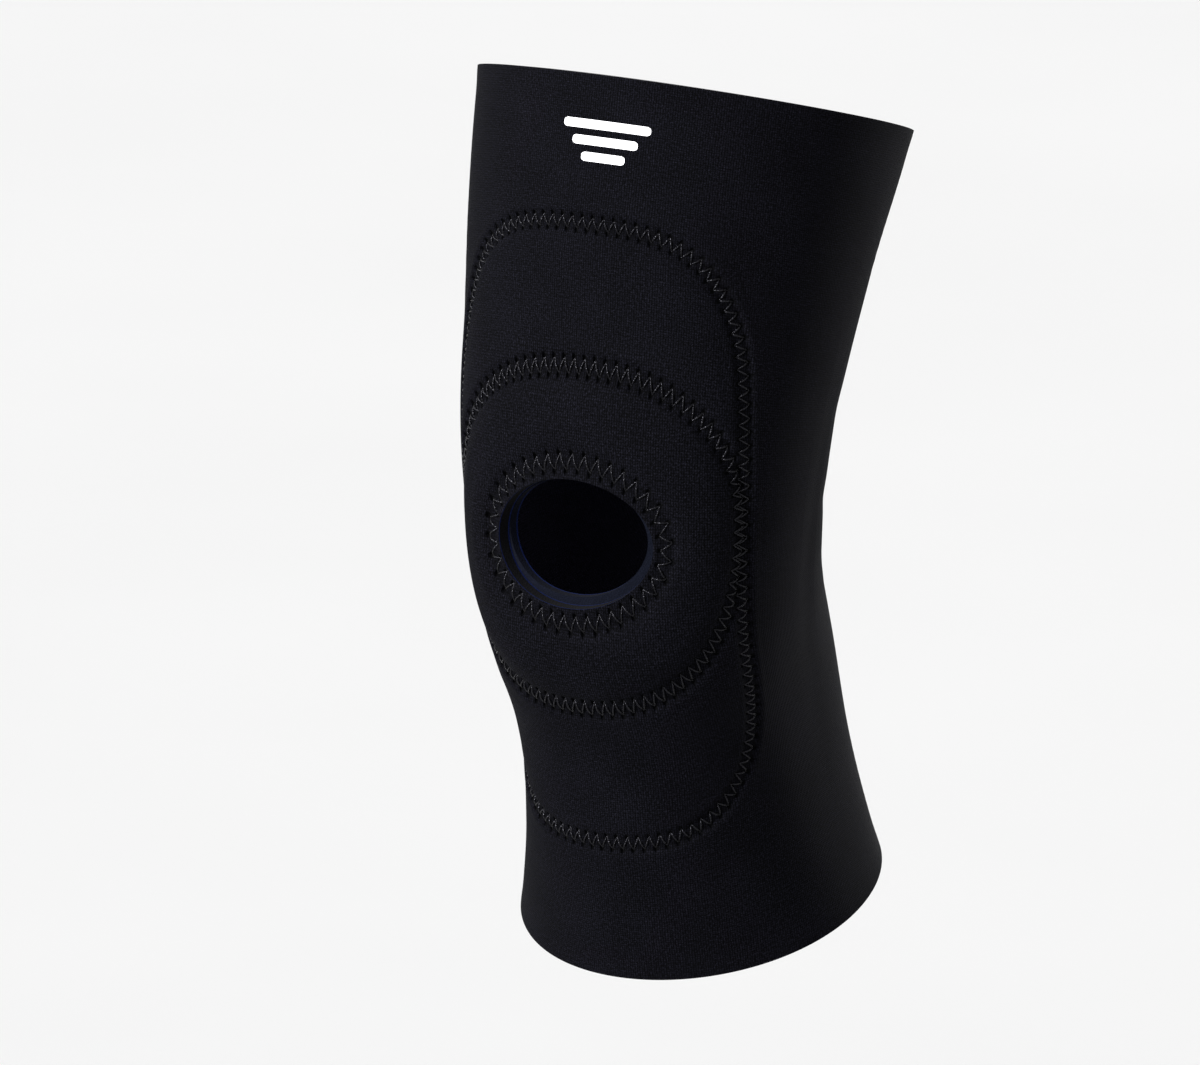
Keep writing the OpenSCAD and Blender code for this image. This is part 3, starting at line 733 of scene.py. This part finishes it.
# Clear gap left between two layers of the wall, under the wall and over the panel's knit
GAP, PANEL_GAP, KNIT_GAP = 0.04, 0.06, 0.03
# Share of the wall and of the panel foam that a seam squeezes out, and the most that two can
WALL_SQUEEZE = (0.30, 0.34)
PANEL_SQUEEZE = (0.35, 0.40)
SQUEEZE_WIDTH = 3.2
# How far the outer knit rolls down into the kneecap opening, and over how many rows
ROLL_DROP, ROLL_ROWS = 0.30, 2.2

made = {}


def squeezed(thickness, fields, share, most):
    """Thickness left under the seams."""
    lost = share * sum(np.exp(-(off / SQUEEZE_WIDTH) ** 2) for _, off in fields.values())
    return thickness * (1 - np.minimum(lost, most))


def wall_depth(fields):
    return squeezed(WALL, fields, *WALL_SQUEEZE)


def seam_attributes(fields):
    """The same fields for the knit's material, which paints shade into the needle holes and the seam bands
    by them.
    """
    return {"seam_" + k: np.stack([v[0], v[1], 0 * v[0]], -1) for k, v in fields.items()}


def spread(side, grid):
    """What the layers of a grid need: its seam fields, height of the outer knit, points and directions."""
    u, s = grid[..., 0], grid[..., 1]
    fields = seam_fields(side, u, s)
    return fields, outer_height(side, u, s, fields), *surface(u, s)


def make_wall(side, half):
    """Outer knit on the fine grid, foam core and lining on the coarse one."""
    flip = side > 0
    grid = sleeve_grid(side, *FINE)
    fields, h, base, normal = spread(side, grid)
    h = h - ROLL_DROP * np.exp(-((np.arange(len(grid)) / ROLL_ROWS) ** 2))[:, None]
    made["face_knit_" + half] = shell(
        "face_knit_" + half, raised(base, normal, h), raised(base, normal, h - SKIN_DEPTH),
        grid, [M_FACE[side], M_EDGE, M_BACK], 1, 2, flip, seam_attributes(fields))
    grid = sleeve_grid(side, *COARSE)
    fields, h, base, normal = spread(side, grid)
    inside = h - wall_depth(fields)
    made["foam_core_" + half] = shell(
        "foam_core_" + half, raised(base, normal, h - SKIN_DEPTH - GAP),
        raised(base, normal, inside + SKIN_DEPTH + GAP), grid, [M_FOAM], flip=flip)
    made["lining_knit_" + half] = shell(
        "lining_knit_" + half, raised(base, normal, inside + SKIN_DEPTH),
        raised(base, normal, inside), grid, [M_BACK, M_EDGE, M_LINING], 1, 2, flip)


for side, half in HALVES.items():
    make_wall(side, half)

# ---- Front panel and ring pad, sewn inside ----

PANEL_FOAM = 2.6
PAD = 4.2
PANEL_MARGIN = 5.0
# How far the pad's edges stay from the seams that hold it, and its thickness there
PAD_INSET, PAD_EDGE = 3.4, 0.25
# The pad starts this far inside its seams, and is full this much further in
PAD_START, PAD_SLOPE = 2.4, 4.5
PANEL_GRID = (281, 88)
PAD_GRID = (161, 26)


def line_grid(side, inner, outer, cols, rows):
    """Grid of points on the flat cut between halves of two lines."""
    t = np.linspace(0, 1, cols)
    a, b = (resample(half_line(x, side), t) for x in (inner, outer))
    w = np.linspace(0, 1, rows)[:, None, None]
    return a[None] * (1 - w) + b[None] * w


def pad_push(fields):
    """Share of the pad's thickness between the seams, 0 at them."""
    ring, opening = fields["ring"][1], fields["opening"][1]
    return smooth((-ring - PAD_START) / PAD_SLOPE) * smooth((opening - PAD_START) / PAD_SLOPE)


def panel_heights(outer, fields):
    """Top of the panel foam, its underside and the underside of its knit, under an outer knit."""
    top = outer - wall_depth(fields) - PANEL_GAP - PAD * pad_push(fields)
    under = top - squeezed(PANEL_FOAM, fields, *PANEL_SQUEEZE)
    return top, under, under - SKIN_DEPTH


def make_panel(side, half):
    """Foam and knit of the front panel, and the ring pad between the panel and the wall."""
    flip = side > 0
    grid = line_grid(side, PANEL_HOLE, widened(PANEL_SEAM, PANEL_MARGIN), *PANEL_GRID)
    fields, h, base, normal = spread(side, grid)
    top, under, inside = panel_heights(h, fields)
    made["panel_foam_" + half] = shell(
        "panel_foam_" + half, raised(base, normal, top), raised(base, normal, under + KNIT_GAP),
        grid, [M_PANEL_FOAM], flip=flip)
    made["panel_knit_" + half] = shell(
        "panel_knit_" + half, raised(base, normal, under), raised(base, normal, inside),
        grid, [M_BACK, M_EDGE, M_PANEL_KNIT], 1, 2, flip)
    grid = line_grid(side, widened(OPENING_SEAM, PAD_INSET), widened(RING_SEAM, -PAD_INSET), *PAD_GRID)
    fields, h, base, normal = spread(side, grid)
    top = h - wall_depth(fields) - GAP
    thick = np.maximum(PAD * pad_push(fields) - PANEL_GAP, PAD_EDGE)
    made["ring_pad_" + half] = shell(
        "ring_pad_" + half, raised(base, normal, top), raised(base, normal, top - thick),
        grid, [M_PAD], flip=flip)


for side, half in HALVES.items():
    make_panel(side, half)

# ---- Threads ----

THREAD = 0.29
LABEL_THREAD = 0.2
# How far a stroke rises over the knit and dives under it, outside and inside
OUTER_RISE, OUTER_DIP = 0.26, 0.9
INNER_RISE, INNER_DIP = 0.25, 0.5
# The ring seam's thread lies on the panel seam's where the two meet
RING_LIFT = 0.12


def tubes(name, paths, ups, radius, sides=8):
    """One tube of thread along each path of points; ups are the outward directions at the points."""
    paths = np.asarray(paths, float)
    k, m = paths.shape[:2]
    tangent = np.gradient(paths, axis=1)
    tangent /= np.maximum(np.linalg.norm(tangent, axis=-1, keepdims=True), 1e-9)
    across = np.cross(tangent, ups)
    across /= np.maximum(np.linalg.norm(across, axis=-1, keepdims=True), 1e-9)
    top = np.cross(across, tangent)
    turn = np.linspace(0, TURN, sides + 1)
    ring = (np.cos(turn)[None, None, :, None] * across[:, :, None, :]
            + np.sin(turn)[None, None, :, None] * top[:, :, None, :])
    verts = paths[:, :, None, :] + radius * ring
    steps = np.linalg.norm(np.diff(paths, axis=1), axis=-1)
    length = np.concatenate([np.zeros((k, 1)), np.cumsum(steps, axis=1)], 1)
    share = np.linspace(0, 1, sides + 1)
    uv = np.stack(np.broadcast_arrays(length[:, :, None], share[None, None]), -1) * MM
    i, j = np.meshgrid(np.arange(m - 1), np.arange(sides), indexing="ij")
    a = i * (sides + 1) + j
    quad = np.stack([a, a + 1, a + sides + 2, a + sides + 1], -1).reshape(-1, 4)
    step = m * (sides + 1)
    faces = (quad[None] + np.arange(k)[:, None, None] * step).reshape(-1, 4)
    return make_object(name, verts.reshape(-1, 3), [faces], [M_THREAD], None, uv.reshape(-1, 2), sharp=80)


def strokes(stops, points):
    """Straight runs from each stop to the next, and how far along its run each point is."""
    tau = np.linspace(0, 1, points)
    share = tau.reshape((1, -1) + (1,) * (stops.ndim - 1))
    return stops[:-1, None] * (1 - share) + stops[1:, None] * share, tau[None]


def face_height(side, u, s):
    """Height of the outer knit without the needle pits."""
    return outer_height(side, u, s, seam_fields(side, u, s), pits=0.0)


def inner_height(side, u, s):
    """Height of the inside of the panel's knit."""
    fields = seam_fields(side, u, s)
    return panel_heights(outer_height(side, u, s, fields), fields)[2]


def zigzag_paths(side, seam, height_at, rise, dip, lay, points):
    """Strokes between needle holes, each rising from one hole and diving into the next."""
    flat, tau = strokes(seam.holes(), points)
    u, s = flat[..., 0], flat[..., 1]
    s = np.where(side > 0, np.maximum(s, 0), np.minimum(s, 0))
    h = height_at(side, u, s) + lay * (-dip + (rise + dip) * np.sin(math.pi * tau))
    base, normal = surface(u, s)
    return raised(base, normal, h), normal * lay


def make_front_threads(side, half):
    """Outer thread and bobbin thread of the three front seams."""
    for key in ("panel", "ring", "opening"):
        seam = SEAMS[side][key]
        lift = RING_LIFT if key == "ring" else 0.0
        name = key + "_seam_thread_" + half
        made[name] = tubes(name, *zigzag_paths(
            side, seam, face_height, OUTER_RISE + lift, OUTER_DIP, 1, 13), THREAD)
        name = key + "_bobbin_thread_" + half
        made[name] = tubes(name, *zigzag_paths(
            side, seam, inner_height, INNER_RISE + lift, INNER_DIP, -1, 9), THREAD, 6)


for side, half in HALVES.items():
    make_front_threads(side, half)

# ---- Rear seam ----

# How far from a rim the seam ends, and the tape
REAR_INSET, TAPE_INSET = 3, 2.0
# Outer thread: how far under the knit a stroke starts, and how far it rises from there
REAR_DIP, REAR_RISE = 0.7, 1.0
# Bobbin thread: how far inside the lining a stroke starts, and how much further in it bows
BOBBIN_START, BOBBIN_BOW = 0.27, 0.65
# The tape's width, how far inside the lining its two faces are, and how much thinner its borders are
TAPE_WIDTH, TAPE_TOP, TAPE_UNDER = 18.0, 0.05, 0.55
TAPE_BORDER = 0.18


def strip_points(s, a, h):
    """Points h millimetres outside the bare surface at angle a, and the outward directions there."""
    normal = skin_normal(s, a)
    return raised(skin(s, a), normal, h), normal


def rear_points(s, off, h):
    """The same, at a sideways distance from the rear seam."""
    return strip_points(s, math.pi + off / shape_at(s)[..., 0], h)


def rear_height(side, s, off):
    u = half_girth(s) - np.abs(off)
    return outer_height(side, u, s, far_fields(u))


def make_rear_seam(side, half):
    """Outer thread, bobbin thread and tape of the rear seam."""
    length = LENGTH_UP if side > 0 else LENGTH_DOWN
    end = side * (length - REAR_INSET)
    count = 2 * round(abs(end) / REAR_PITCH)
    s, tau = strokes(np.linspace(0, end, count + 1), 11)
    off, _ = strokes(np.where(np.arange(count + 1) % 2 == 0, 1.0, -1.0) * HALF_ZIG, 11)
    outer = rear_height(side, s, off)
    arc = np.sin(math.pi * tau) ** 0.6
    paths, ups = rear_points(s, off, outer - REAR_DIP + REAR_RISE * arc)
    made["rear_seam_thread_" + half] = tubes("rear_seam_thread_" + half, paths, ups, THREAD)
    paths, ups = rear_points(s, off, outer - WALL - BOBBIN_START - BOBBIN_BOW * arc)
    made["rear_bobbin_thread_" + half] = tubes("rear_bobbin_thread_" + half, paths, -ups, THREAD, 6)
    rows = np.linspace(0, side * (length - TAPE_INSET), 70)
    s, off = np.meshgrid(rows, np.linspace(-TAPE_WIDTH / 2, TAPE_WIDTH / 2, 13), indexing="ij")
    border = TAPE_BORDER * (np.abs(off) > TAPE_WIDTH / 2 - 1)
    outer = rear_height(side, s, off)
    top, _ = rear_points(s, off, outer - WALL - TAPE_TOP)
    under, _ = rear_points(s, off, outer - WALL - TAPE_UNDER + border)
    made["rear_seam_tape_" + half] = shell(
        "rear_seam_tape_" + half, top, under, np.stack([off, s], -1), [M_TAPE], flip=side < 0)


for side, half in HALVES.items():
    make_rear_seam(side, half)

# ---- Care label and its seam ----

LABEL_ANGLE = math.radians(140)
LABEL_TOP = LENGTH_UP - 4
LABEL_W, LABEL_L, LABEL_THICK = 24.0, 34.0, 0.42
LABEL_GAP, LABEL_SAG = 0.15, 1.6
# The lower edge curls inwards, over a short stretch
LABEL_CURL, LABEL_CURL_REACH = 0.5, 1.2
# The label's seam: its distance from the label's top, and its ends' distance from the sides
LABEL_SEAM_DROP, LABEL_SEAM_INSET = 3.0, 1.4
LABEL_STITCH_DIP, LABEL_STITCH_RISE = 0.25, 0.5


def label_points(across, down, lift):
    """Points on the label, lift millimetres clear of the lining, and the outward directions there."""
    s = LABEL_TOP - down
    a = LABEL_ANGLE + across / shape_at(s)[..., 0]
    u = a / math.pi * half_girth(s)
    return strip_points(s, a, outer_height(1, u, s, far_fields(u)) - WALL - lift)


def make_label():
    """Satin label that hangs from its top edge, a little clear of the lining."""
    downs, acrosses = np.linspace(0, LABEL_L, 35), np.linspace(-LABEL_W / 2, LABEL_W / 2, 25)
    down, across = np.meshgrid(downs, acrosses, indexing="ij")
    lift = LABEL_SAG * smooth(down / LABEL_L) * (1 + 0.35 * np.sin(across / 4.5)) + LABEL_GAP
    lift = lift + LABEL_CURL * np.exp(-((down - LABEL_L) / LABEL_CURL_REACH) ** 2)
    near, _ = label_points(across, down, lift)
    far, _ = label_points(across, down, lift + LABEL_THICK)
    made["care_label_cloth"] = shell(
        "care_label_cloth", near, far, np.stack([across, -down], -1), [M_LABEL], flip=True)


def make_label_seam():
    """Row of straight stitches across the label's top."""
    reach = LABEL_W / 2 - LABEL_SEAM_INSET
    across, tau = strokes(np.linspace(-reach, reach, 10), 9)
    down = LABEL_SEAM_DROP + 0 * across
    lift = LABEL_GAP + LABEL_SAG * smooth(down / LABEL_L) + LABEL_THICK - LABEL_STITCH_DIP
    arc = np.sin(math.pi * tau) ** 0.6
    paths, ups = label_points(across, down, lift + LABEL_STITCH_RISE * arc)
    made["label_thread"] = tubes("label_thread", paths, -ups, LABEL_THREAD, 6)


make_label()
make_label_seam()

# ---- Printed mark: three plain bars of falling length ----

MARK_DROP, MARK_LENGTH, MARK_BAR, MARK_PITCH, MARK_CORNER = 22.0, 32.0, 3.0, 5.4, 1.2
# Height of the ink's top and of its underside over the knit
INK_HEIGHTS = (0.10, 0.02)


def bar_outline(length, height, corner, points=9):
    """Rounded bar as rows across its height, each with its own half length."""
    y = np.linspace(-height / 2, height / 2, points)
    inset = np.maximum(np.abs(y) - (height / 2 - corner), 0)
    return y, length / 2 - corner + np.sqrt(np.maximum(corner ** 2 - inset ** 2, 0))


def make_mark():
    """Film of ink on the outer knit."""
    low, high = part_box("printed_mark")
    middle = (low.x + high.x) / 2 / MM
    verts, faces, uvs, start = [], [], [], 0
    for i in range(3):
        y, reach = bar_outline(MARK_LENGTH * (1 - 0.25 * i), MARK_BAR, MARK_CORNER)
        u = middle + reach[:, None] * np.linspace(-1, 1, 49)[None]
        s = LENGTH_UP - MARK_DROP + (1 - i) * MARK_PITCH + y[:, None] + 0 * u
        _, h, base, normal = spread(1, np.stack([u, s], -1))
        for lift in INK_HEIGHTS:
            verts.append(raised(base, normal, h + lift).reshape(-1, 3))
            uvs.append(np.stack([u, s], -1).reshape(-1, 2) * MM)
        faces += shell_faces(*u.shape, start=start)
        start += 2 * u.size
    made["printed_mark_film"] = make_object(
        "printed_mark_film", np.concatenate(verts), faces, [M_PRINT], None, np.concatenate(uvs))


make_mark()

# ---- Which CAD nodes the pieces stand for: the pieces are baked in place and those nodes hidden ----

# The CAD node and the material slot of each kind of piece that is made in two halves
STANDS = {
    "face_knit": ("face_fabric", "black_knit"),
    "foam_core": ("knee_core", "foam"),
    "lining_knit": ("lining_fabric", "lining_knit"),
    "panel_foam": ("support_panel", "foam"),
    "panel_knit": ("panel_knit", "lining_knit"),
    "ring_pad": ("ring_buttress", "felt_pad"),
    "panel_seam_thread": ("panel_stitch", "thread"),
    "ring_seam_thread": ("ring_stitch", "thread"),
    "opening_seam_thread": ("opening_stitch", "thread"),
    "panel_bobbin_thread": ("panel_bobbin_thread", "thread"),
    "ring_bobbin_thread": ("ring_bobbin_thread", "thread"),
    "opening_bobbin_thread": ("opening_bobbin_thread", "thread"),
    "rear_seam_thread": ("rear_seam_stitch", "thread"),
    "rear_bobbin_thread": ("rear_seam_bobbin_thread", "thread"),
    "rear_seam_tape": ("rear_seam_tape", "tape"),
}
# The same for the pieces that lie wholly above the knee
THIGH_STANDS = {
    "care_label_cloth": ("care_label", "label"),
    "label_thread": ("label_stitch", "thread"),
    "printed_mark_film": ("printed_mark", "white_print"),
}

for side, half in HALVES.items():
    for kind, (node, slot) in STANDS.items():
        piece = made[kind + "_" + half]
        if side > 0:
            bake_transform(piece)
        else:
            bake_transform(piece)
        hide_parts(node)
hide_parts("thigh_core", "upper_bend_core")
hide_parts("shin_core", "lower_bend_core")
for name, (node, slot) in THIGH_STANDS.items():
    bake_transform(made[name])
    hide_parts(node)

# ---- Flat areas of the halves of the wall and of the panel ----

def half_area(line, side):
    """Flat area inside one half of a line, down to the knee."""
    x, y = half_line(line, side).T
    return abs(float(np.sum(x[:-1] * y[1:] - x[1:] * y[:-1]) + x[-1] * y[0] - x[0] * y[-1])) / 2


for side, half in HALVES.items():
    end = LENGTH_UP if side > 0 else LENGTH_DOWN
    girths = 2 * half_girth(np.linspace(0, side * end, 60))
    area = (float(np.mean(girths)) * end - half_area(OPENING, side)) * MM * MM
    rim = widened(PANEL_SEAM, PANEL_MARGIN)
    area = (half_area(rim, side) - half_area(PANEL_HOLE, side)) * MM * MM

# ---- Stage ----

FLOOR_REACH, FLOOR_DROP = 40, -0.5


def make_floor():
    r, z = FLOOR_REACH, FLOOR_DROP
    mesh = bpy.data.meshes.new("floor")
    mesh.from_pydata([(-r, -r, z), (r, -r, z), (r, r, z), (-r, r, z)], [], [(0, 1, 2, 3)])
    mesh.materials.append(floor_material())
    obj = bpy.data.objects.new("floor", mesh)
    bpy.context.scene.collection.objects.link(obj)
    return obj


floor = make_floor()

world = bpy.data.worlds.new("studio")
bpy.context.scene.world = world
world.use_nodes = True
world.node_tree.nodes["Background"].inputs["Color"].default_value = (1.0, 1.0, 1.0, 1.0)
world.node_tree.nodes["Background"].inputs["Strength"].default_value = 1.0

# The lamps light the brace alone, so that the floor stays as even and as pale as the studio round it
flagged = bpy.data.collections.new("flagged_from_lamps")
flagged.objects.link(floor)
flagged.collection_objects[0].light_linking.link_state = "EXCLUDE"


def area_light(name, place, size, power):
    """Square lamp that points at the knee."""
    data = bpy.data.lights.new(name, "AREA")
    data.shape = "SQUARE"
    data.size = size
    data.energy = power
    obj = bpy.data.objects.new(name, data)
    obj.location = place
    obj.rotation_mode = "QUATERNION"
    obj.rotation_quaternion = (-Vector(place)).to_track_quat("-Z", "Y")
    obj.light_linking.receiver_collection = flagged
    bpy.context.scene.collection.objects.link(obj)


area_light("key", (-1.15, -2.4, 1.1), 0.9, 205)
area_light("rim", (0.6, 2.3, 0.8), 0.8, 68)
area_light("back", (-1.3, 2.2, 1.2), 0.9, 170)

# ---- Camera ----

AZIMUTH, ELEVATION, DISTANCE = math.radians(31), math.radians(14), 4.0
level = math.cos(ELEVATION)
back = Vector((math.sin(AZIMUTH) * level, -math.cos(AZIMUTH) * level, math.sin(ELEVATION)))
camera = bpy.data.cameras.new("camera")
camera.sensor_width = 36
camera.lens = 356
camera.shift_x, camera.shift_y = -0.0361, -0.0250
camera.clip_start, camera.clip_end = 0.05, 200
camera_obj = bpy.data.objects.new("camera", camera)
camera_obj.location = back * DISTANCE
camera_obj.rotation_mode = "QUATERNION"
camera_obj.rotation_quaternion = (-back).to_track_quat("-Z", "Y")
bpy.context.scene.collection.objects.link(camera_obj)
bpy.context.scene.camera = camera_obj
bpy.context.scene.view_settings.view_transform = "Standard"
